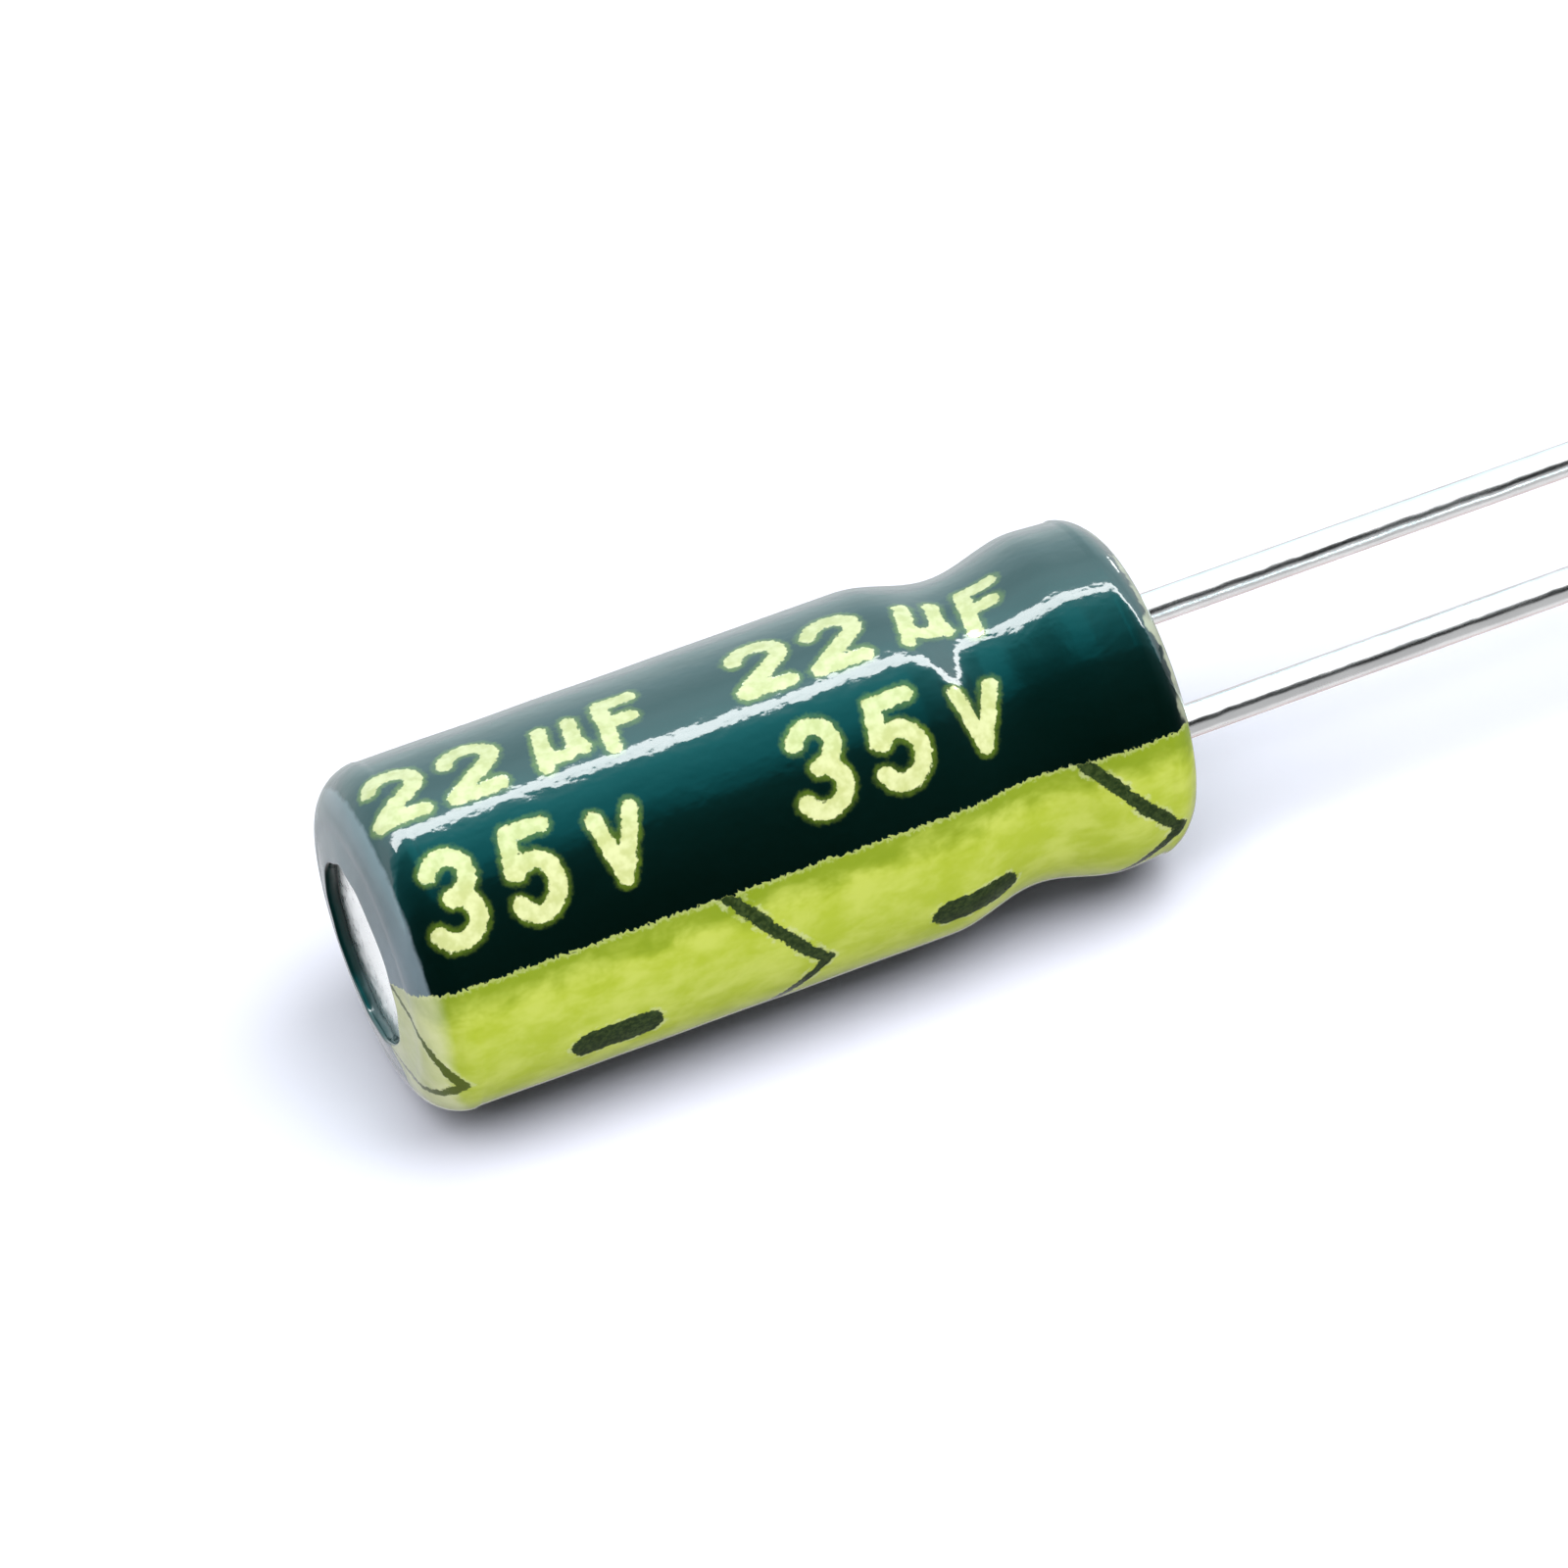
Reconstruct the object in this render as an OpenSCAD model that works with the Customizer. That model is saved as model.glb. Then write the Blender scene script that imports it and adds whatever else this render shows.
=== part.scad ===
// Radial aluminium electrolytic capacitor, 5 x 11 mm case size.
// The part lies on its side: axis along X, leads towards +X, can top towards -X.
// The origin is on the axis, in the plane of the seating end that the leads come out of.
// Every sub-part is drawn standing (axis along Z, seating plane at Z = 0, leads downwards)
// and is then laid down by lay().

/* [Case] */
// Diameter of the bare aluminium can
can_d = 5.0; // [4.9:0.05:5.1]
// Length over the sleeve, from the seating plane to the can top
body_l = 12.0; // [11.8:0.1:12.5]
// Wall thickness of the can
can_t = 0.25; // [0.2:0.01:0.28]
// Thickness of the flat top of the can
can_top_t = 0.32; // [0.28:0.02:0.4]
// Radius of the can's top corner, outside
can_corner_r = 0.65; // [0.5:0.05:0.75]
// Outer radius of the curled rim at the seating end
curl_r = 0.4; // [0.36:0.02:0.42]

/* [Bead groove] */
// Distance of the groove's middle from the seating plane
groove_z = 2.4; // [2.3:0.02:2.7]
// Half of the groove's width, crest to middle
groove_hw = 1.4; // [1.3:0.05:1.5]
// Depth of the groove rolled into the can
groove_depth = 0.42; // [0.36:0.02:0.46]
// Depth of the dip in the sleeve, which bridges the groove
sleeve_dip = 0.27; // [0.2:0.01:0.32]

/* [Sleeve] */
// Thickness of the shrunk sleeve
sleeve_t = 0.1; // [0.08:0.01:0.1]
// Thickness of the sleeve's edge over the can top, where the film has shrunk most
sleeve_lip_t = 0.18; // [0.14:0.01:0.2]
// Radius of the sleeve's opening over the can top
sleeve_hole_r = 1.35; // [1.2:0.01:1.5]
// Radius of the sleeve's opening at the seating end
sleeve_lip_r = 1.96; // [1.9:0.01:2.0]

/* [Bung] */
// Height of the rubber bung
bung_h = 3.7; // [3.6:0.05:3.8]
// Depth of its outer face inside the seating plane
bung_recess = 0; // [0:0.01:0.1]

/* [Leads] */
// Diameter of the tinned lead wires
lead_d = 0.5; // [0.45:0.01:0.5]
// Distance between the leads' centres
lead_pitch = 2.0; // [1.98:0.01:2.04]
// Length of the positive lead outside the case
anode_lead_l = 19; // [19:0.5:25]
// Length of the negative lead outside the case
cathode_lead_l = 15; // [15:0.5:20]
// Angle of the plane of the leads to the surface that the case lies on
lead_plane_deg = 17; // [0:1:45]

/* [Tabs] */
// Diameter of the round aluminium boss that passes the bung
boss_d = 0.9; // [0.84:0.01:0.92]
// Thickness of the flattened paddle inside the winding
paddle_t = 0.15; // [0.12:0.01:0.15]
// Length of the paddle along the winding
paddle_l = 5.2; // [4.6:0.1:5.6]

/* [Winding] */
// Radius of the hollow core
core_r = 0.42; // [0.38:0.01:0.42]
// Thickness of the etched anode foil
anode_t = 0.09; // [0.07:0.005:0.09]
// Thickness of the cathode foil
cathode_t = 0.05; // [0.03:0.005:0.05]
// Thickness of each separator paper
paper_t = 0.04; // [0.03:0.005:0.04]
// Thickness of the tape that holds the winding shut
tape_t = 0.03; // [0.02:0.005:0.03]
// Width of the papers, along the axis
paper_w = 6.9; // [6.6:0.1:7.0]
// Width of the foils, along the axis
foil_w = 5.9; // [5.6:0.1:6.2]

/* [Hidden] */

can_r = can_d / 2;
can_top_z = body_l - sleeve_lip_t;  // outer face of the can top
can_in_r = can_r - can_t;
rim_z = sleeve_t;                   // crest of the curled rim
gap = 0.01;                         // running gap between layers and pieces
boss_y = lead_pitch / 2;
bung_z0 = bung_recess;
bung_z1 = bung_recess + bung_h;
weld_z = 0.15;                      // where the lead wire is welded to the boss
paper_z = bung_z1 + 0.6;            // lower edge of the papers
foil_z = paper_z + (paper_w - foil_w) / 2;
foil_mid_z = foil_z + foil_w / 2;
seg = 9;                            // degrees between the points of the winding
turns = 5.1;

// Laid-down frame: +Z of the standing part points to -X
module lay() { rotate([lead_plane_deg, 0, 0]) rotate([0, -90, 0]) children(); }

// ---- curves ----
// Points on an arc from angle a to angle b, in n steps
function arc(cx, cy, r, a, b, n = 10) =
    [for (i = [0 : n]) let (t = a + (b - a) * i / n) [cx + r * cos(t), cy + r * sin(t)]];

// Smooth dip of a given depth, centred on the bead groove
function dip(z, depth, hw = groove_hw) =
    abs(z - groove_z) >= hw ? 0 : depth * (0.5 + 0.5 * cos(180 * (z - groove_z) / hw));

// Wall of radius r with a dip in it, from z0 up to z1
function wall(r, depth, n = 24) =
    [for (i = [0 : n]) let (z = groove_z - groove_hw + 2 * groove_hw * i / n) [r - dip(z, depth), z]];

function rev(p) = [for (i = [len(p) - 1 : -1 : 0]) p[i]];

// ---- can ----
module can_profile() {
    curl_c = [can_r - curl_r, rim_z + curl_r];
    in_curl = curl_r - can_t;
    top_c = [can_r - can_corner_r, can_top_z - can_corner_r];
    in_corner = can_corner_r - can_t;
    outside = concat(
        arc(curl_c[0], curl_c[1], curl_r, -180, 0, 16),
        wall(can_r, groove_depth),
        arc(top_c[0], top_c[1], can_corner_r, 0, 90, 10),
        [[0, can_top_z]]);
    inside = concat(
        arc(curl_c[0], curl_c[1], in_curl, -180, 0, 10),
        wall(can_in_r, groove_depth),
        arc(top_c[0], can_top_z - can_top_t - in_corner, in_corner, 0, 90, 6),
        [[0, can_top_z - can_top_t]]);
    polygon(concat(outside, rev(inside)));
}

module aluminium_can() {
    color([0.86, 0.87, 0.88])
    lay() rotate_extrude($fn = 96) can_profile();
}

// ---- sleeve ----
module sleeve_profile() {
    curl_c = [can_r - curl_r, rim_z + curl_r];
    top_c = [can_r - can_corner_r, can_top_z - can_corner_r];
    outside = concat(
        [[sleeve_lip_r, 0]],
        arc(curl_c[0], curl_c[1], curl_r + sleeve_t, -90, 0, 12),
        wall(can_r + sleeve_t, sleeve_dip),
        arc(top_c[0], top_c[1], can_corner_r + sleeve_t, 0, 90, 12),
        [[sleeve_hole_r, body_l]]);
    inside = concat(
        [[sleeve_lip_r, sleeve_t]],
        arc(curl_c[0], curl_c[1], curl_r, -90, 0, 16),
        wall(can_r, sleeve_dip),
        arc(top_c[0], top_c[1], can_corner_r, 0, 90, 10),
        [[sleeve_hole_r, can_top_z]]);
    polygon(concat(outside, rev(inside)));
}

module printed_sleeve() {
    color([0.02, 0.13, 0.08])
    lay() rotate_extrude($fn = 96) sleeve_profile();
}

// ---- bung ----
module bung_profile() {
    r = can_in_r - gap;
    in_edge = can_r - 2 * curl_r - 0.06;
    polygon(concat(
        [[0, bung_z0], [in_edge - 0.06, bung_z0], [in_edge, bung_z0 + 0.06],
         [in_edge, rim_z + curl_r + gap], [r, rim_z + curl_r + gap]],
        wall(r, groove_depth),
        [for (z = [bung_z1 - 0.12]) if (z > groove_z + groove_hw) [r, z]],
        [[r - 0.12 - dip(bung_z1, groove_depth), bung_z1], [0, bung_z1]]));
}

module rubber_bung() {
    hole_r = boss_d / 2 + gap / 2;
    color([0.07, 0.07, 0.07])
    lay() difference() {
        rotate_extrude($fn = 96) intersection() {
            bung_profile();
            square([can_r, bung_z1]);
        }
        for (s = [-1, 1]) translate([0, s * boss_y, 0]) {
            translate([0, 0, -0.1]) cylinder(r = hole_r, h = bung_z1 + 0.2, $fn = 48);
            // countersink that the wire leaves through
            translate([0, 0, bung_z0 - 0.02]) cylinder(r1 = hole_r + 0.12, r2 = hole_r, h = 0.14, $fn = 48);
        }
    }
}

// ---- leads ----
// Drawn wire with a small end bevel, from the weld down to its cut end
module lead(l) {
    r = lead_d / 2;
    rotate_extrude($fn = 48)
        polygon([[0, -l], [r - 0.06, -l], [r, -l + 0.08], [r, weld_z], [0, weld_z]]);
}

module anode_lead() {
    color([0.8, 0.8, 0.79])
    lay() translate([0, boss_y, 0]) lead(anode_lead_l);
}

module cathode_lead() {
    color([0.8, 0.8, 0.79])
    lay() translate([0, -boss_y, 0]) lead(cathode_lead_l);
}

// ---- winding ----
// Order from the core outwards in one turn: anode foil, paper, cathode foil, paper
off_anode = 0;
off_inner = anode_t + gap;
off_cathode = off_inner + paper_t + gap;
off_outer = off_cathode + cathode_t + gap;
pitch = off_outer + paper_t + gap;
off_tape = off_outer + paper_t + gap;

// Total angle round the winding at which each paddle lies, and the gap it lies in
anode_at = 2 * 360 + 90;
cathode_at = 360 + 270;
off_anode_pad = anode_t + gap / 2;
off_cathode_pad = off_cathode + cathode_t + gap / 2;
pad_half = 4 * seg;

// Share of the full bulge at an angle d from the middle of a paddle
function window(d) = let (a = abs(d)) a <= 38 ? 1 : a >= 80 ? 0 : 0.5 + 0.5 * cos(180 * (a - 38) / 42);
function wrap(a) = a - 360 * floor((a + 180) / 360);

// The layers outside a paddle bulge over it
function bulge(th, off, at, pad_off) =
    let (d = wrap(th - at))
    pitch * th / 360 + off > pitch * (at + d) / 360 + pad_off - gap ? (paddle_t + gap) * window(d) : 0;

function layer_r(th, off) = core_r + pitch * th / 360 + off
    + bulge(th, off, anode_at, off_anode_pad)
    + bulge(th, off, cathode_at, off_cathode_pad);

function on_turn(r, th) = [r * cos(th), r * sin(th)];

// One strip of the winding, from total angle a to b
module strip(off, t, a, b, z, h) {
    outer = [for (th = [a : seg : b]) on_turn(layer_r(th, off) + t, th)];
    inner = [for (th = [a : seg : b]) on_turn(layer_r(th, off), th)];
    translate([0, 0, z]) linear_extrude(height = h) polygon(concat(outer, rev(inner)));
}

module anode_foil() {
    color([0.62, 0.63, 0.64])
    lay() strip(off_anode, anode_t, 18 * seg, 4.75 * 360, foil_z, foil_w);
}

module inner_separator() {
    color([0.88, 0.84, 0.72])
    lay() strip(off_inner, paper_t, 0, turns * 360, paper_z, paper_w);
}

module cathode_foil() {
    color([0.75, 0.76, 0.78])
    lay() strip(off_cathode, cathode_t, 10 * seg, 4.9 * 360, foil_z, foil_w);
}

module outer_separator() {
    color([0.88, 0.84, 0.72])
    lay() strip(off_outer, paper_t, 0, turns * 360, paper_z, paper_w);
}

module winding_tape() {
    a = ceil((turns - 1) * 360 / seg + 1) * seg;
    color([0.8, 0.72, 0.45])
    lay() strip(off_tape, tape_t, a, a + 372, foil_mid_z - 2.4, 4.8);
}

// ---- tabs ----
// Round boss through the bung and, above it, a paddle pressed flat and curved with the winding
module tab(at, pad_off, dir) {
    r_in = [for (i = [-4 : 4]) let (th = at + i * seg) core_r + pitch * th / 360 + pad_off
             + (pad_off > off_cathode ? bulge(th, off_cathode, anode_at, off_anode_pad) : 0)];
    outer = [for (i = [-4 : 4]) on_turn(r_in[i + 4] + paddle_t, at + i * seg)];
    inner = [for (i = [-4 : 4]) on_turn(r_in[i + 4], at + i * seg)];
    pad_z = bung_z1 + 0.28;
    difference() {
        union() {
            translate([0, dir * boss_y, weld_z + 0.1]) cylinder(d = boss_d, h = pad_z - weld_z, $fn = 48);
            // end melted round the wire
            translate([0, dir * boss_y, weld_z]) cylinder(d1 = lead_d + 0.12, d2 = boss_d, h = 0.1, $fn = 48);
            translate([0, 0, pad_z]) linear_extrude(height = paper_z - pad_z + 0.5 + paddle_l)
                polygon(concat(outer, rev(inner)));
        }
    }
}

module anode_tab() {
    color([0.8, 0.81, 0.83])
    lay() tab(anode_at, off_anode_pad, 1);
}

module cathode_tab() {
    color([0.8, 0.81, 0.83])
    lay() tab(cathode_at, off_cathode_pad, -1);
}

aluminium_can();
printed_sleeve();
rubber_bung();
anode_lead();
cathode_lead();
anode_tab();
cathode_tab();
anode_foil();
cathode_foil();
inner_separator();
outer_separator();
winding_tape();
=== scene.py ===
import bpy
import math
import numpy as np
from mathutils import Matrix, Vector


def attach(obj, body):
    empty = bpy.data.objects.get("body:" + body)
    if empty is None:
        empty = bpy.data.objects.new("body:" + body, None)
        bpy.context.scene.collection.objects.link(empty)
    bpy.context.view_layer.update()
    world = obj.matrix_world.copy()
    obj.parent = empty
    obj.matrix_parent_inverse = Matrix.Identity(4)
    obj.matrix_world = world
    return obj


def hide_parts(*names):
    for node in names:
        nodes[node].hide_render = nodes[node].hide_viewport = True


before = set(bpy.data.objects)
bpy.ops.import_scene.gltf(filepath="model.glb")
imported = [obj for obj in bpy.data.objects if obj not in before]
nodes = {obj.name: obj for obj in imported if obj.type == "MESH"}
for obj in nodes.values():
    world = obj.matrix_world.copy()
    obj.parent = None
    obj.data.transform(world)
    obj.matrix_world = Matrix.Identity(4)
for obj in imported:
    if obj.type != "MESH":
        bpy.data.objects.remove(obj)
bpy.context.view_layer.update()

scene = bpy.context.scene
MM = 0.001

# ------------------------------------------------------------------ camera
# direction from the object to the camera: elevation in the plane across the case,
# and how far the camera stands towards the can top
EP, PHI, ROLL = math.radians(42.1), math.radians(13.30), math.radians(-7.955)
DIST, SHIFT_X, SHIFT_Y, LENS = 125.83, -0.4623, -0.4310, 202.5
back = Vector((-math.sin(PHI), -math.cos(PHI) * math.cos(EP), math.cos(PHI) * math.sin(EP)))
r0 = Vector((0, 0, 1)).cross(back).normalized()
u0 = back.cross(r0)
right = math.cos(ROLL) * r0 + math.sin(ROLL) * u0
up = -math.sin(ROLL) * r0 + math.cos(ROLL) * u0
eye = (Vector((-6, 0, 0)) - SHIFT_X * right - SHIFT_Y * up + DIST * back) * MM
cam_data = bpy.data.cameras.new("camera")
cam_data.lens = LENS
cam_data.sensor_width = 36
cam_data.clip_start = 0.005
cam_data.clip_end = 20
cam = bpy.data.objects.new("camera", cam_data)
scene.collection.objects.link(cam)
m = Matrix.Identity(4)
for i, axis in enumerate((right, up, back)):
    for j in range(3):
        m[j][i] = axis[j]
for j in range(3):
    m[j][3] = eye[j]
cam.matrix_world = m
scene.camera = cam
scene.view_settings.view_transform = "Standard"


# ------------------------------------------------------------------ node helpers
class Mat:
    """A material under construction: short calls that add nodes and link them."""

    def __init__(self, name):
        self.m = bpy.data.materials.new(name)
        self.m.use_nodes = True
        self.t = self.m.node_tree
        self.b = self.t.nodes["Principled BSDF"]
        self._obj = None

    def node(self, kind, **kw):
        n = self.t.nodes.new(kind)
        for k, v in kw.items():
            setattr(n, k, v)
        return n

    def put(self, socket, value):
        if isinstance(value, bpy.types.NodeSocket):
            self.t.links.new(value, socket)
        else:
            socket.default_value = value

    def obj(self):
        if self._obj is None:
            self._obj = self.node("ShaderNodeTexCoord").outputs["Object"]
        return self._obj

    def math(self, op, a, b=0.0, c=0.0, clamp=False):
        n = self.node("ShaderNodeMath", operation=op, use_clamp=clamp)
        for s, v in zip(n.inputs, (a, b, c)):
            self.put(s, v)
        return n.outputs[0]

    def scaled(self, v, s):
        n = self.node("ShaderNodeVectorMath", operation="MULTIPLY")
        self.put(n.inputs[0], v)
        n.inputs[1].default_value = s
        return n.outputs[0]

    def noise(self, vec, scale, detail=2.0, rough=0.5, dist=0.0):
        n = self.node("ShaderNodeTexNoise")
        self.put(n.inputs["Vector"], vec)
        n.inputs["Scale"].default_value = scale
        n.inputs["Detail"].default_value = detail
        n.inputs["Roughness"].default_value = rough
        n.inputs["Distortion"].default_value = dist
        return n.outputs["Fac"]

    def ramp(self, fac, lo, hi, a=0.0, b=1.0, smooth=True):
        n = self.node("ShaderNodeMapRange", interpolation_type="SMOOTHSTEP" if smooth else "LINEAR")
        self.put(n.inputs["Value"], fac)
        self.put(n.inputs["From Min"], lo)
        self.put(n.inputs["From Max"], hi)
        self.put(n.inputs["To Min"], a)
        self.put(n.inputs["To Max"], b)
        return n.outputs["Result"]

    def mix(self, fac, a, b, kind="MIX"):
        n = self.node("ShaderNodeMix", data_type="RGBA", blend_type=kind)
        self.put(n.inputs["Factor"], fac)
        self.put(n.inputs["A"] if n.inputs["A"].type == "RGBA" else n.inputs[6], a)
        self.put(n.inputs[7], b)
        return n.outputs[2]

    def attr(self, name):
        return self.node("ShaderNodeAttribute", attribute_name=name).outputs["Fac"]

    def bump(self, height, strength, distance, normal=None):
        n = self.node("ShaderNodeBump")
        n.inputs["Strength"].default_value = strength
        n.inputs["Distance"].default_value = distance
        self.put(n.inputs["Height"], height)
        if normal is not None:
            self.put(n.inputs["Normal"], normal)
        return n.outputs[0]

    def set(self, **kw):
        for k, v in kw.items():
            self.put(self.b.inputs[k.replace("_", " ")], v)
        return self


def rgb(r, g, b):
    return (r, g, b, 1.0)


# ------------------------------------------------------------------ print on the sleeve
# The print is laid out flat: u runs along the case in mm (0 at the seating end, negative
# towards the can top), w runs round it in mm on a radius of 2.6 (0 at the -Y side, up positive).
R_PRINT = 2.6


def arc_pts(cx, cy, rx, ry, a, b, n=14):
    return [(cx + rx * math.cos(math.radians(a + (b - a) * i / n)),
             cy + ry * math.sin(math.radians(a + (b - a) * i / n))) for i in range(n + 1)]


def glyph(ch, w, h):
    """Centre lines of a character, in a box w wide and h high about its centre."""
    x, y = w / 2, h / 2
    if ch == "2":
        r = min(x, h * 0.29)
        top = arc_pts(0, y - r, x, r, 168, -32)
        return [top + [(-x, -y), (x, -y)]]
    if ch == "3":
        return [arc_pts(-0.04 * w, y * 0.5, x * 0.9, y * 0.5, 155, -90) ,
                arc_pts(-0.04 * w, -y * 0.5, x * 1.0, y * 0.5, 90, -155)]
    if ch == "5":
        return [[(x * 0.86, y), (-x * 0.74, y), (-x * 0.86, y * 0.08)]
                + arc_pts(0, -y * 0.37, x, y * 0.63, 138, -150)]
    if ch == "u":
        return [[(-x * 0.72, y), (-x, -y * 1.35)],
                [(-x * 0.78, y * 0.2)] + arc_pts(0, -y * 0.42, x * 0.8, y * 0.58, 190, 350, 10) + [(x * 0.8, y)],
                [(x * 0.8, -y * 0.3), (x * 1.12, -y * 0.95)]]
    if ch == "F":
        return [[(x, y), (-x * 0.8, y), (-x * 0.8, -y)], [(-x * 0.8, y * 0.04), (x * 0.72, y * 0.04)]]
    if ch == "V":
        return [[(-x, y), (0, -y), (x, y)]]
    return []


# character, centre u, centre angle in degrees, width, height, half of the stroke
LEAN = 0.12
RATING = []
for u_off in (0.0, 5.55):
    RATING += [("2", -11.12 + u_off, 91.0, 0.68, 0.92, 0.128), ("2", -9.98 + u_off, 90.5, 0.68, 0.92, 0.128),
               ("u", -8.68 + u_off, 89.0, 0.58, 0.62, 0.115), ("F", -7.76 + u_off, 88.5, 0.50, 0.90, 0.122),
               ("3", -10.98 + u_off, 48.8, 0.64, 1.22, 0.130), ("5", -9.80 + u_off, 48.6, 0.64, 1.22, 0.130),
               ("V", -8.52 + u_off, 47.0, 0.56, 0.92, 0.120)]


def seg_dist(pu, pw, ax, ay, bx, by):
    dx, dy = bx - ax, by - ay
    L = dx * dx + dy * dy
    t = np.clip(((pu - ax) * dx + (pw - ay) * dy) / max(L, 1e-12), 0, 1)
    return np.hypot(pu - ax - t * dx, pw - ay - t * dy)


def rating_field(u, w):
    """Signed distance in mm to the characters, positive inside them."""
    best = np.full(u.shape, -1.0)
    for ch, cu, ang, gw, gh, half in RATING:
        cw = math.radians(ang) * R_PRINT
        near = (np.abs(u - cu) < gw + 0.6) & (np.abs(w - cw) < gh + 0.6)
        pu, pw = u[near], w[near]
        d = np.full(pu.shape, 9.0)
        for line in glyph(ch, gw, gh):
            pts = [(cu + a + LEAN * b, cw + b) for a, b in line]
            for (ax, ay), (bx, by) in zip(pts[:-1], pts[1:]):
                d = np.minimum(d, seg_dist(pu, pw, ax, ay, bx, by))
        best[near] = np.maximum(best[near], half - d)
    return best


STRIPE_MID, STRIPE_HALF = math.radians(-19.5) * R_PRINT, math.radians(40.0) * R_PRINT
MARK_PITCH = 5.55


def mark_field(u, w):
    """Signed distance to the dark arrow lines and dashes on the stripe, positive inside."""
    best = np.full(u.shape, -1.0)
    dw = w - STRIPE_MID
    for k in range(3):
        tip = -11.50 + k * MARK_PITCH
        half = 0.052 + 0.060 * np.clip(1 - np.abs(dw) / 0.9, 0, 1) if k == 0 else 0.105
        reach = STRIPE_HALF + 0.12
        d = seg_dist(u, w, tip, STRIPE_MID, tip - 0.745 * reach, STRIPE_MID + reach)
        d2 = seg_dist(u, w, tip, STRIPE_MID, tip - 0.745 * reach, STRIPE_MID - reach)
        taper = 1.0 - 0.25 * np.clip(-dw / STRIPE_HALF, 0, 1)
        best = np.maximum(best, half * taper - np.minimum(d, d2))
    for k in range(2):
        mid = -9.17 + k * MARK_PITCH
        d = seg_dist(u, w, mid - 0.40, STRIPE_MID + 0.02, mid + 0.40, STRIPE_MID + 0.02)
        best = np.maximum(best, 0.30 - d)
    return best


# ------------------------------------------------------------------ sleeve mesh
def wave(seed, n, lo, hi, period):
    """Smooth seeded noise with a period: returns a function of the place."""
    rng = np.random.RandomState(seed)
    ks = rng.randint(lo, hi + 1, n)
    ph = rng.uniform(0, 2 * math.pi, n)
    am = rng.uniform(0.5, 1.0, n) / np.sqrt(n)
    return lambda t: sum(a * np.sin(2 * math.pi * k * t / period + p) for k, p, a in zip(ks, ph, am))


CAP_X = 11.17  # where the rounding of the can end starts


def sleeve_outline():
    """Rows of the sleeve from the inner lip at the seating end, over the outside, to the can end
    and back inside: (x, r, u, inside)."""
    groove, hw, dip = 2.4, 1.4, 0.27
    rows = []

    def bend(x):
        d = abs(x + groove)
        return dip * (0.5 + 0.5 * math.cos(math.pi * d / hw)) if d < hw else 0.0

    lip, flat = 1.96, 2.1
    corner, cap_corner = 0.5, 0.75
    arc0 = corner * math.pi / 2
    for i in range(4):
        r = lip + (flat - lip) * i / 4
        rows.append((0.0, r, -corner + arc0 + (flat - r), 0))
    for i in range(15):
        a = math.radians(90 * i / 14)
        rows.append((-corner + corner * math.cos(a), flat + corner * math.sin(a), -corner + arc0 - corner * a, 0))
    n = 250
    for i in range(1, n):
        x = -corner - (CAP_X - corner) * i / n
        rows.append((x, 2.6 - bend(x), x, 0))
    for i in range(23):
        a = math.radians(90 * i / 22)
        rows.append((-CAP_X - cap_corner * math.sin(a), 1.85 + cap_corner * math.cos(a), -CAP_X - cap_corner * a, 0))
    end_u = -CAP_X - cap_corner * math.pi / 2
    hole, lip_t = 1.35, 0.18
    for i in range(1, 10):
        r = 1.85 - (1.85 - hole - 0.04) * i / 9
        rows.append((-11.92 - 0.08 * i / 9, r, end_u - (1.85 - r), 0))
    rows.append((-11.99, hole + 0.012, end_u - 0.5, 0))
    rows.append((-11.965, hole, end_u - 0.55, 0))
    t = 0.1
    rows.append((-12.0 + lip_t, hole, end_u - 0.6, 1))
    for r in (1.6, 1.85):
        rows.append((-12.0 + lip_t, r, end_u, 1))
    for a in (22.5, 45, 67.5, 90):
        a = math.radians(a)
        rows.append((-CAP_X - 0.65 * math.sin(math.pi / 2 - a), 1.85 + 0.65 * math.sin(a), -CAP_X, 1))
    for x in (-8.0, -5.0, -3.8, -3.4, -3.0, -2.7, -2.4, -2.1, -1.8, -1.4, -1.0):
        rows.append((x, 2.5 - bend(x), x, 1))
    for a in (0, 30, 60, 90):
        a = math.radians(a)
        rows.append((-0.5 + 0.4 * math.sin(a), 2.1 + 0.4 * math.cos(a), -0.3, 1))
    rows.append((-t, lip, 0.3, 1))
    return rows


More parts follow.
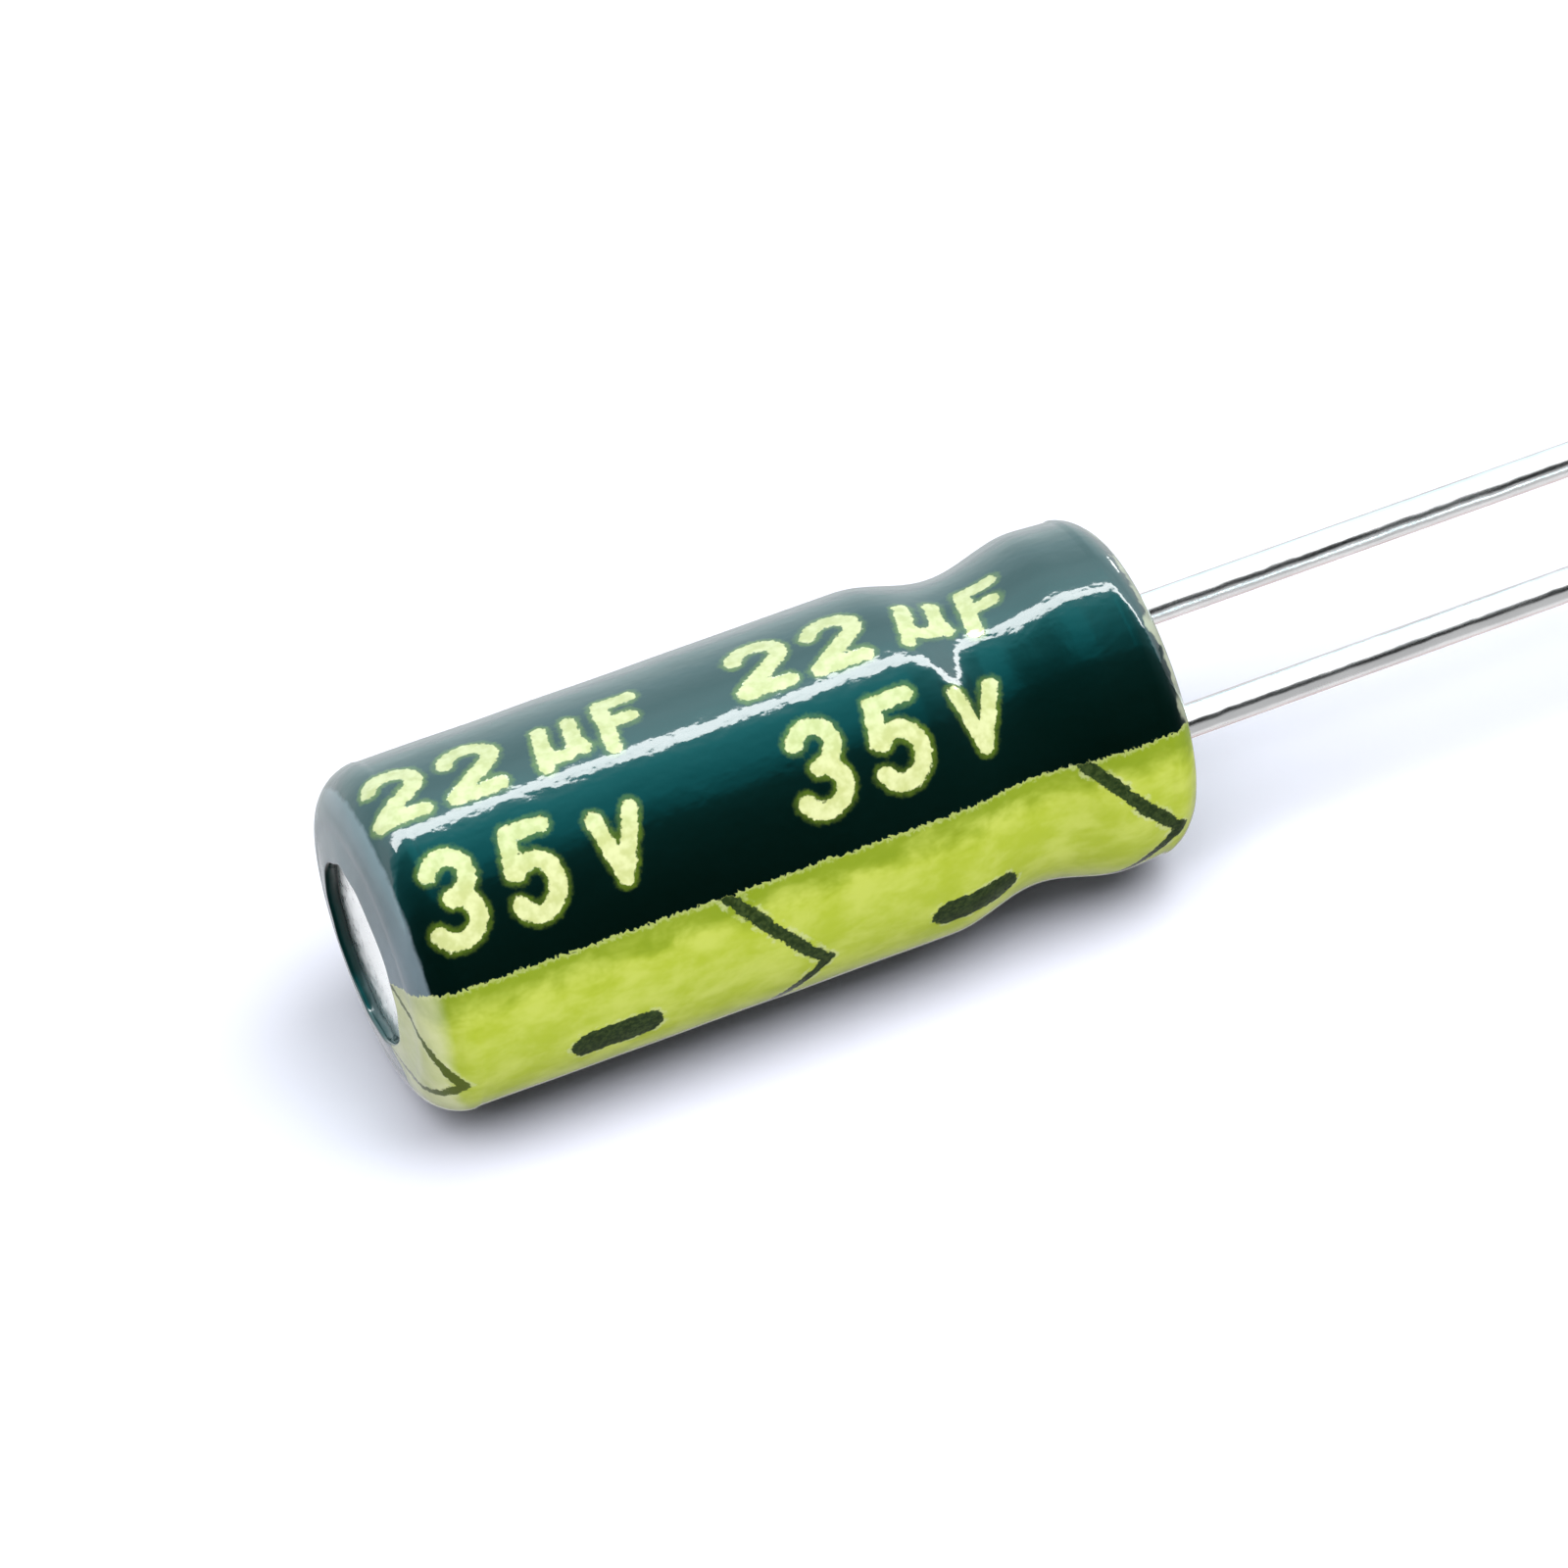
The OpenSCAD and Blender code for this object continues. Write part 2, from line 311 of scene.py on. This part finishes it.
def make_sleeve():
    rows = sleeve_outline()
    xs = np.array([r[0] for r in rows]); rs = np.array([r[1] for r in rows])
    us = np.array([r[2] for r in rows]); inside = np.array([r[3] for r in rows])
    # columns: fine on the printed side, coarser on the plain back
    fine = np.linspace(-72, 128, 212)
    coarse = np.linspace(128, 288, 60)[1:-1]
    ang = np.radians(np.concatenate([fine, coarse]))
    nr, nc = len(rows), len(ang)
    A, X = np.meshgrid(ang, xs)
    _, Rr = np.meshgrid(ang, rs)
    _, U = np.meshgrid(ang, us)
    T = A.copy()
    outer = (inside == 0)[:, None] * np.ones((1, nc))
    # shrink film: it sits a hair unevenly on the can, always inside the nominal outline
    f1, f2, f3 = wave(3, 5, 1, 4, 2 * math.pi), wave(5, 6, 2, 7, 12.0), wave(8, 7, 4, 11, 2 * math.pi)
    wall = np.clip((2.6 - np.abs(Rr - 2.6) - 2.25) / 0.3, 0, 1) * (X < -0.45) * (X > -CAP_X - 0.05)
    sag = (0.010 * (1 + f1(T + 0.25 * X) * 0.8) + 0.006 * (1 + f2(X + 0.7 * T) * 0.7)) * wall
    # the dip over the bead groove is a little deeper in places
    g = np.exp(-((X + 2.4) / 0.8) ** 2)
    sag = sag + g * 0.010 * (1 + f3(T)) * wall
    step = np.clip((X + 3.40) / 0.55, 0, 1) * 1.0
    step = step * step * (3 - 2 * step)
    fade = np.clip((X + 2.85) / 0.95, 0, 1)
    fade = 1 - fade * fade * (3 - 2 * fade)
    sag = sag + 0.085 * step * fade * np.exp(-((np.degrees(T) - 60 + 5 * f1(X)) / 30) ** 2)
    crown = np.clip((X + 1.30) / 1.30, 0, 1) ** 1.6 * np.clip((Rr - 1.96) / 0.5, 0, 1)
    sag = sag + 0.100 * crown
    Rn = Rr - np.clip(sag, 0, 0.12) * outer
    # cut edges: small steps and nicks round both openings
    hole_n, lip_n = wave(21, 9, 2, 14, 2 * math.pi), wave(31, 12, 3, 26, 2 * math.pi)
    near_hole = np.clip((1.85 - Rr) / 0.5, 0, 1) * (X < -11.81)
    near_lip = np.clip((2.1 - Rr) / 0.14, 0, 1) * (X > -0.11)
    Rn = Rn + near_hole * 0.030 * hole_n(T) + near_lip * 0.035 * np.abs(lip_n(T))
    Y = -Rn * np.cos(T)
    Z = Rn * np.sin(T)
    co = np.stack([X, Y, Z], -1).reshape(-1, 3) * MM
    i = np.arange(nr)[:, None]
    j = np.arange(nc)[None, :]
    i2, j2 = (i + 1) % nr, (j + 1) % nc
    quads = np.stack([i * nc + j, i2 * nc + j, i2 * nc + j2, i * nc + j2], -1).reshape(-1, 4)
    me = bpy.data.meshes.new("sleeve")
    me.vertices.add(len(co))
    me.vertices.foreach_set("co", co.ravel())
    me.loops.add(quads.size)
    me.loops.foreach_set("vertex_index", quads.ravel().astype(np.int32))
    me.polygons.add(len(quads))
    me.polygons.foreach_set("loop_start", np.arange(0, quads.size, 4, dtype=np.int32))
    me.polygons.foreach_set("loop_total", np.full(len(quads), 4, dtype=np.int32))
    me.update(calc_edges=True)
    me.validate()
    me.polygons.foreach_set("use_smooth", np.ones(len(quads), dtype=bool))
    # bake map: the case unrolled, the printed side taking most of the width
    span = np.interp(np.degrees(np.append(ang, ang[0] + 2 * math.pi)), [-72, 128, 288], [0.0, 0.82, 1.0])
    arc = np.concatenate([[0], np.cumsum(np.hypot(np.diff(np.append(xs, xs[0])), np.diff(np.append(rs, rs[0]))))])
    n_out = int((inside == 0).sum())
    vv = np.where(np.arange(nr + 1) < n_out, 0.90 * arc[:nr + 1] / arc[n_out - 1],
                  0.90 + 0.10 * (arc[:nr + 1] - arc[n_out - 1]) / (arc[-1] - arc[n_out - 1]))
    ii, jj = np.meshgrid(np.arange(nr), np.arange(nc), indexing="ij")
    uv = np.stack([np.stack([span[jj], vv[ii]], -1), np.stack([span[jj], vv[ii + 1]], -1),
                   np.stack([span[jj + 1], vv[ii + 1]], -1), np.stack([span[jj + 1], vv[ii]], -1)], 2)
    layer = me.uv_layers.new(name="OFBake")
    layer.data.foreach_set("uv", uv.reshape(-1).astype(np.float32))
    # print fields
    u, w = U.ravel(), (T * R_PRINT).ravel()
    flat = {
        "rating": rating_field(u, w),
        "marks": mark_field(u, w),
        "band": STRIPE_HALF - np.abs(w - STRIPE_MID),
        "band_top": (w - STRIPE_MID - STRIPE_HALF),
        "across": u,
        "around": w,
        "edge": np.where(X > -1, X + 0.5, 0.0).ravel(),
        "shoulder": ((-X - CAP_X) * outer * (Rr > 1.366)).ravel(),
        "inner": np.maximum(1 - outer, (Rr < 1.366) * (X < -11)).ravel(),
    }
    for name, val in flat.items():
        a = me.attributes.new(name, "FLOAT", "POINT")
        a.data.foreach_set("value", val.astype(np.float32))
    ob = bpy.data.objects.new("shrunk_sleeve", me)
    scene.collection.objects.link(ob)
    return ob


sleeve = make_sleeve()
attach(sleeve, "root")
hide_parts("printed_sleeve")


# ------------------------------------------------------------------ materials
def sleeve_material():
    k = Mat("printed_sleeve")
    obj = k.obj()
    fine = k.noise(obj, 14000, 2.0, 0.6)
    mid = k.noise(obj, 5200, 2.0, 0.55)
    # place on the print, stretched along the case
    flow = k.noise(k.scaled(obj, (0.7, 1.0, 1.0)), 2300, 3.0, 0.58, 0.15)
    broad = k.noise(k.scaled(obj, (0.5, 1.0, 1.0)), 700, 3.0, 0.5)
    jit = k.math("ADD", k.math("MULTIPLY", k.math("SUBTRACT", fine, 0.5), 0.130),
                 k.math("MULTIPLY", k.math("SUBTRACT", mid, 0.5), 0.090))
    # teeth along the stripe's edges
    tooth = k.math("PINGPONG", k.math("ADD", k.attr("across"), k.math("MULTIPLY", mid, 0.45)), 0.062)
    band = k.math("ADD", k.attr("band"), k.math("ADD", k.math("MULTIPLY", jit, 0.9),
                                               k.math("MULTIPLY", k.math("SUBTRACT", tooth, 0.031), 0.60)))
    m_band = k.ramp(band, -0.010, 0.014)
    rating = k.math("ADD", k.attr("rating"), k.math("MULTIPLY", jit, 0.75))
    m_rate = k.ramp(rating, -0.012, 0.014)
    halo = k.ramp(rating, -0.105, -0.015)
    marks = k.math("ADD", k.attr("marks"), jit)
    m_mark = k.math("MULTIPLY", k.ramp(marks, -0.014, 0.014), m_band)
    # green film
    green = k.mix(k.ramp(broad, 0.30, 0.70), rgb(0.0005, 0.0040, 0.0022), rgb(0.0007, 0.0056, 0.0036))
    green = k.mix(k.math("MULTIPLY", halo, k.ramp(flow, 0.3, 0.7, 0.45, 0.95)), green, rgb(0.085, 0.135, 0.0015))
    # stripe ink: mottled, olive along its edges
    olive = k.ramp(k.math("ADD", k.attr("band"), k.math("MULTIPLY", k.math("SUBTRACT", flow, 0.5), 0.9)), 0.62, 0.10)
    ink = k.mix(k.ramp(flow, 0.30, 0.72), rgb(0.395, 0.465, 0.020), rgb(0.505, 0.560, 0.080))
    ink = k.mix(k.math("MULTIPLY", olive, 0.85), ink, rgb(0.205, 0.280, 0.003))
    fringe = k.math("MULTIPLY", k.ramp(band, 0.075, 0.010), 0.45)
    ink = k.mix(fringe, ink, rgb(0.520, 0.560, 0.230))
    beside = k.math("MULTIPLY", k.ramp(marks, -0.085, -0.035), k.ramp(mid, 0.40, 0.62, 0.0, 0.55))
    ink = k.mix(beside, ink, rgb(0.560, 0.590, 0.300))
    dark = k.mix(k.ramp(fine, 0.35, 0.7), rgb(0.018, 0.030, 0.003), rgb(0.050, 0.072, 0.012))
    col = k.mix(m_band, green, ink)
    # the film is clouded where it shrank most, over the rounding of the can end; this gray-blue is partly that haze and
    # partly a painted reflection of the bright surroundings
    shoulder_sheen = k.math("ADD", k.attr("shoulder"), k.math("MULTIPLY", k.math("SUBTRACT", mid, 0.5), 0.06))
    haze_and_sheen = k.math("MULTIPLY", k.ramp(shoulder_sheen, 0.500, 0.560), k.ramp(broad, 0.25, 0.75, 0.34, 0.46))
    col = k.mix(haze_and_sheen, col, rgb(0.40, 0.50, 0.56))
    # the stripe is painted paler over the rounding of the can end, more so towards the bottom of the case: partly the
    # same haze, partly a painted reflection of the floor and surroundings
    lower_sheen = k.ramp(k.attr("around"), -0.9, -2.3, 0.0, 0.34)
    pale_sheen = k.math("MULTIPLY", k.ramp(k.math("ADD", shoulder_sheen, lower_sheen), 0.34, 0.58), k.ramp(flow, 0.25, 0.75, 0.48, 0.66))
    col = k.mix(m_band, col, k.mix(pale_sheen, ink, rgb(0.76, 0.75, 0.47)))
    # the marks are painted paler over the rounding of the can end, under the same painted reflection
    dark = k.mix(k.ramp(k.attr("shoulder"), -0.25, 0.10, 0.0, 0.8), dark, rgb(0.125, 0.150, 0.006))
    col = k.mix(m_mark, col, dark)
    letter = k.mix(k.ramp(mid, 0.3, 0.7), rgb(0.520, 0.555, 0.215), rgb(0.670, 0.695, 0.350))
    col = k.mix(m_rate, col, letter)
    col = k.mix(k.attr("inner"), col, rgb(0.002, 0.014, 0.012))
    # painted reflection: a light gray-cream sheen painted on the rounded rim at the seating end, where the bright
    # surroundings reflect
    rim_sheen = k.ramp(k.math("ADD", k.attr("edge"), k.math("MULTIPLY", k.math("SUBTRACT", k.noise(obj, 1900, 3.0, 0.6), 0.5), 0.55)),
                  0.345, 0.400)
    # the painted sheen lies only on the rounding, not on the flat of the lip
    rim_sheen = k.math("MULTIPLY", rim_sheen, k.ramp(k.math("ADD", k.attr("edge"), k.math("MULTIPLY", k.math("SUBTRACT", mid, 0.5), 0.03)),
                                           0.499, 0.484))
    rim_sheen = k.math("MULTIPLY", rim_sheen, k.math("SUBTRACT", 1.0, m_band))
    col = k.mix(k.math("MULTIPLY", rim_sheen, k.ramp(flow, 0.25, 0.75, 0.45, 0.90)), col, rgb(0.430, 0.450, 0.300))
    k.set(Base_Color=col)
    any_ink = k.math("MAXIMUM", m_band, m_rate)
    k.set(Roughness=k.math("ADD", k.math("MULTIPLY", any_ink, 0.10), k.ramp(flow, 0.2, 0.8, 0.44, 0.50)))
    h = k.math("ADD", k.math("MULTIPLY", k.noise(k.scaled(obj, (0.6, 1, 1)), 1500, 3.0, 0.55), 1.0),
               k.math("MULTIPLY", k.noise(obj, 6000, 2.0, 0.5), 0.16))
    n = k.bump(h, 0.55, 0.00003)
    n = k.bump(any_ink, 0.35, 0.000008, n)
    k.set(Normal=n, Coat_Normal=n)
    k.set(Specular_IOR_Level=0.26, Specular_Tint=rgb(0.04, 0.95, 1.0), Coat_Weight=1.0, Coat_Roughness=0.07, IOR=1.52,
          Coat_IOR=1.50)
    return k.m


def metal(name, dark, light, rough, scale=(0.05, 1, 1), grain=9000, bump=0.12, waves=0.0, rim=None):
    k = Mat(name)
    obj = k.obj()
    lines = k.noise(k.scaled(obj, scale), grain, 3.0, 0.6)
    cloud = k.noise(obj, 900, 3.0, 0.55)
    n = k.bump(k.noise(obj, 1300, 2.0, 0.5), waves, 0.00004) if waves else None
    k.set(Base_Color=k.mix(k.ramp(cloud, 0.3, 0.7), rgb(*dark), rgb(*light)), Metallic=1.0,
          Roughness=k.ramp(lines, 0.3, 0.7, rough[0], rough[1]), Normal=k.bump(lines, bump, 0.000004, n))
    if rim:
        k.set(Specular_Tint=rgb(*rim))
    return k.m


def rubber():
    k = Mat("bung_rubber")
    obj = k.obj()
    speck = k.noise(obj, 9000, 3.0, 0.65)
    cloud = k.noise(obj, 1200, 3.0, 0.5)
    k.set(Base_Color=k.mix(k.ramp(speck, 0.45, 0.72), rgb(0.020, 0.020, 0.021), rgb(0.060, 0.060, 0.062)),
          Roughness=k.ramp(cloud, 0.3, 0.7, 0.55, 0.75), Normal=k.bump(speck, 0.35, 0.00001))
    return k.m


def paper():
    k = Mat("separator_paper")
    obj = k.obj()
    fibre = k.noise(k.scaled(obj, (0.25, 1, 1)), 11000, 4.0, 0.65, 1.0)
    k.set(Base_Color=k.mix(k.ramp(fibre, 0.35, 0.7), rgb(0.66, 0.58, 0.42), rgb(0.84, 0.79, 0.66)),
          Roughness=k.ramp(fibre, 0.3, 0.7, 0.65, 0.85), Normal=k.bump(fibre, 0.4, 0.000008))
    return k.m


def tape():
    k = Mat("winding_tape")
    obj = k.obj()
    cloud = k.noise(obj, 2400, 3.0, 0.55)
    k.set(Base_Color=k.mix(k.ramp(cloud, 0.3, 0.7), rgb(0.60, 0.50, 0.24), rgb(0.76, 0.66, 0.38)),
          Roughness=k.ramp(cloud, 0.3, 0.7, 0.28, 0.42), Normal=k.bump(cloud, 0.2, 0.000006))
    return k.m


def assign(ob, mat):
    ob.data.materials.clear()
    ob.data.materials.append(mat)


assign(sleeve, sleeve_material())
assign(nodes["printed_sleeve"], sleeve.data.materials[0])
assign(nodes["aluminium_can"], metal("can_aluminium", (0.80, 0.81, 0.82), (0.90, 0.905, 0.91), (0.26, 0.36), (1, 1, 1), 7000, 0.2))
wire = metal("tinned_wire", (0.75, 0.76, 0.77), (0.85, 0.86, 0.87), (0.19, 0.29), (0.04, 1, 1), 12000, 0.25,
             1.0, (0.60, 0.44, 0.43))
assign(nodes["anode_lead"], wire)
assign(nodes["cathode_lead"], wire)
tab = metal("tab_aluminium", (0.74, 0.75, 0.77), (0.86, 0.87, 0.88), (0.28, 0.40), (0.1, 1, 1), 9000, 0.2)
assign(nodes["anode_tab"], tab)
assign(nodes["cathode_tab"], tab)
assign(nodes["anode_foil"], metal("etched_foil", (0.46, 0.47, 0.48), (0.60, 0.61, 0.62), (0.55, 0.70), (1, 1, 1), 14000, 0.4))
assign(nodes["cathode_foil"], metal("plain_foil", (0.66, 0.67, 0.69), (0.80, 0.81, 0.82), (0.30, 0.42), (1, 1, 1), 9000, 0.3))
pap = paper()
assign(nodes["inner_separator"], pap)
assign(nodes["outer_separator"], pap)
assign(nodes["winding_tape"], tape())
assign(nodes["rubber_bung"], rubber())

# ------------------------------------------------------------------ floor and light
me = bpy.data.meshes.new("floor")
s, z = 3.0, -2.6 * MM - 0.00001
me.from_pydata([(-s, -s, z), (s, -s, z), (s, s, z), (-s, s, z)], [], [(0, 1, 2, 3)])
floor = bpy.data.objects.new("floor", me)
scene.collection.objects.link(floor)
k = Mat("floor")
k.set(Base_Color=k.mix(k.noise(k.obj(), 60, 3.0, 0.5), rgb(0.86, 0.87, 0.89), rgb(0.89, 0.90, 0.91)), Roughness=0.55,
      Specular_IOR_Level=0.3)
assign(floor, k.m)

world = bpy.data.worlds.new("studio")
scene.world = world
world.use_nodes = True
t = world.node_tree
for n in list(t.nodes):
    t.nodes.remove(n)


def wn(kind, **kw):
    n = t.nodes.new(kind)
    for a, b in kw.items():
        setattr(n, a, b)
    return n


def wmath(op, a, b=0.0):
    n = wn("ShaderNodeMath", operation=op)
    for sk, v in zip(n.inputs, (a, b)):
        if isinstance(v, bpy.types.NodeSocket):
            t.links.new(v, sk)
        else:
            sk.default_value = v
    return n.outputs[0]


sep = wn("ShaderNodeSeparateXYZ")
t.links.new(wn("ShaderNodeTexCoord").outputs["Generated"], sep.inputs[0])
# place of a direction round the case, in turns from straight down: 0.25 is the front horizon,
# 0.5 overhead, 0.75 the back horizon
psi = wmath("FRACT", wmath("ADD", wmath("MULTIPLY", wmath("ARCTAN2", sep.outputs["Z"],
                                                          wmath("MULTIPLY", sep.outputs["Y"], -1.0)),
                                        0.5 / math.pi), 0.25))
ramp = wn("ShaderNodeValToRGB")
ramp.color_ramp.interpolation = "EASE"
t.links.new(psi, ramp.inputs[0])
BAND = [(-90, 0.018, 0.018, 0.018), (-62, 0.010, 0.010, 0.010), (-40, 0.004, 0.004, 0.004), (0, 0.0015, 0.0015, 0.0015),
        (56, 0.0015, 0.002, 0.002), (66, 0.005, 0.14, 0.16), (76, 0.015, 0.27, 0.31), (93, 0.028, 0.31, 0.35),
        (104, 0.14, 0.33, 0.36), (112, 0.48, 0.60, 0.64), (125, 0.44, 0.56, 0.60), (140, 0.32, 0.43, 0.46),
        (156, 0.31, 0.43, 0.46), (176, 0.30, 0.38, 0.39), (196, 0.27, 0.29, 0.30), (212, 0.17, 0.18, 0.18), (226, 0.15, 0.15, 0.16),
        (236, 0.08, 0.08, 0.08), (270, 0.018, 0.018, 0.018)]
els = ramp.color_ramp.elements
while len(els) > 1:
    els.remove(els[-1])
for i, (deg, cr, cg, cb) in enumerate(BAND):
    e = els[0] if i == 0 else els.new((deg + 90) / 360)
    e.position = (deg + 90) / 360
    e.color = (cr, cg, cb, 1)


def wrange(v, lo, hi, a, b):
    n = wn("ShaderNodeMapRange", interpolation_type="SMOOTHSTEP")
    for name, val in (("From Min", lo), ("From Max", hi), ("To Min", a), ("To Max", b)):
        n.inputs[name].default_value = val
    t.links.new(v, n.inputs["Value"])
    return n.outputs["Result"]


# the teal part is weaker towards the leads, and nearly gone towards either end
off_end = wmath("ABSOLUTE", wmath("SUBTRACT", sep.outputs["X"], 0.23))
less = wmath("MULTIPLY", wmath("MAXIMUM", wrange(sep.outputs["X"], 0.25, 0.42, 0.0, 0.55), wrange(off_end, 0.28, 0.50, 0.0, 0.85)),
             wrange(psi, 0.500, 0.540, 1.0, 0.0))
dim = wn("ShaderNodeVectorMath", operation="SCALE")
t.links.new(ramp.outputs[0], dim.inputs[0])
t.links.new(wmath("SUBTRACT", 1.0, less), dim.inputs["Scale"])
bgd = wn("ShaderNodeBackground")
t.links.new(dim.outputs[0], bgd.inputs["Color"])
bgd.inputs["Strength"].default_value = 4.0
white = wn("ShaderNodeBackground")
white.inputs["Color"].default_value = rgb(1, 1, 1)
white.inputs["Strength"].default_value = 1.0
path = wn("ShaderNodeLightPath")
mixw = wn("ShaderNodeMixShader")
t.links.new(path.outputs["Is Camera Ray"], mixw.inputs[0])
t.links.new(bgd.outputs[0], mixw.inputs[1])
t.links.new(white.outputs[0], mixw.inputs[2])
world.cycles_visibility.diffuse = False
floor.visible_glossy = False
outw = wn("ShaderNodeOutputWorld")
t.links.new(mixw.outputs[0], outw.inputs[0])


def sun(name, psi_deg, x_tilt, strength, angle, only=None):
    """A far lamp that stands psi_deg round the case and leans x_tilt degrees towards the leads."""
    d = bpy.data.lights.new(name, "SUN")
    d.energy = strength
    d.angle = math.radians(angle)
    ob = bpy.data.objects.new(name, d)
    scene.collection.objects.link(ob)
    a, b = math.radians(psi_deg), math.radians(x_tilt)
    way = Vector((math.sin(b), -math.cos(b) * math.cos(a), math.cos(b) * math.sin(a)))
    ob.rotation_euler = way.to_track_quat("Z", "Y").to_euler()
    if only:
        c = bpy.data.collections.new(name + "_lights")
        for o in only:
            c.objects.link(o)
        ob.light_linking.receiver_collection = c
    return ob


pieces = [o for o in scene.objects if o.type == "MESH" and o is not floor]


def strip(name, psi_deg, x_mid, dist, width, length, radiance):
    """A long soft box that runs along the case, psi_deg round it; sizes in metres."""
    d = bpy.data.lights.new(name, "AREA")
    d.shape = "RECTANGLE"
    d.size, d.size_y = length, width
    d.energy = radiance * math.pi * width * length
    ob = bpy.data.objects.new(name, d)
    scene.collection.objects.link(ob)
    a = math.radians(psi_deg)
    z_ax = Vector((0, -math.cos(a), math.sin(a)))
    x_ax = Vector((1, 0, 0))
    y_ax = z_ax.cross(x_ax)
    m = Matrix.Identity(4)
    for c, ax in enumerate((x_ax, y_ax, z_ax)):
        for r in range(3):
            m[r][c] = ax[r]
    m[0][3] = x_mid
    m[1][3], m[2][3] = z_ax[1] * dist, z_ax[2] * dist
    ob.matrix_world = m
    ob.visible_camera = False
    return ob


# gloss and soft light are set apart: the strip and the surroundings give the reflections,
# the wide lamps give the even light
key = strip("key", 107, 0.40, 0.30, 0.042, 1.20, 16.0)
key.visible_diffuse = False
far_box = strip("far_box", 178, 0.60, 0.50, 0.07, 0.09, 9.0)
far_box.visible_diffuse = False
for name, tilt, power in (("floor_can_side", -30, 1.25), ("floor_mid", 0, 1.75), ("floor_lead_side", 29, 2.00)):
    even = sun(name, 76, tilt, power, 50, [floor])
    even.data.color = (0.945, 0.955, 1.055)
sleeve.visible_diffuse = False
leads = [nodes["anode_lead"], nodes["cathode_lead"]]
sun("lead_light", 73, 0, 2.30, 76, leads)
for lamp in (sun("lead_below", -63, 0, 1.55, 136, leads), sun("lead_under", -100, 0, 0.70, 100, leads),
             sun("can_end", -138, -13, 0.46, 70, [nodes["aluminium_can"]]),
             sun("can_round", 0, -85, 1.20, 140, [nodes["aluminium_can"]])):
    lamp.light_linking.blocker_collection = lamp.light_linking.receiver_collection
for name, psi_deg, tilt, power, wide in (("soft", 45, 0, 2.9, 60), ("soft_top", 108, 0, 1.7, 60),
                                         ("end_fill", 70, 62, 1.0, 60)):
    lamp = sun(name, psi_deg, tilt, power, wide, pieces)
    lamp.visible_glossy = False
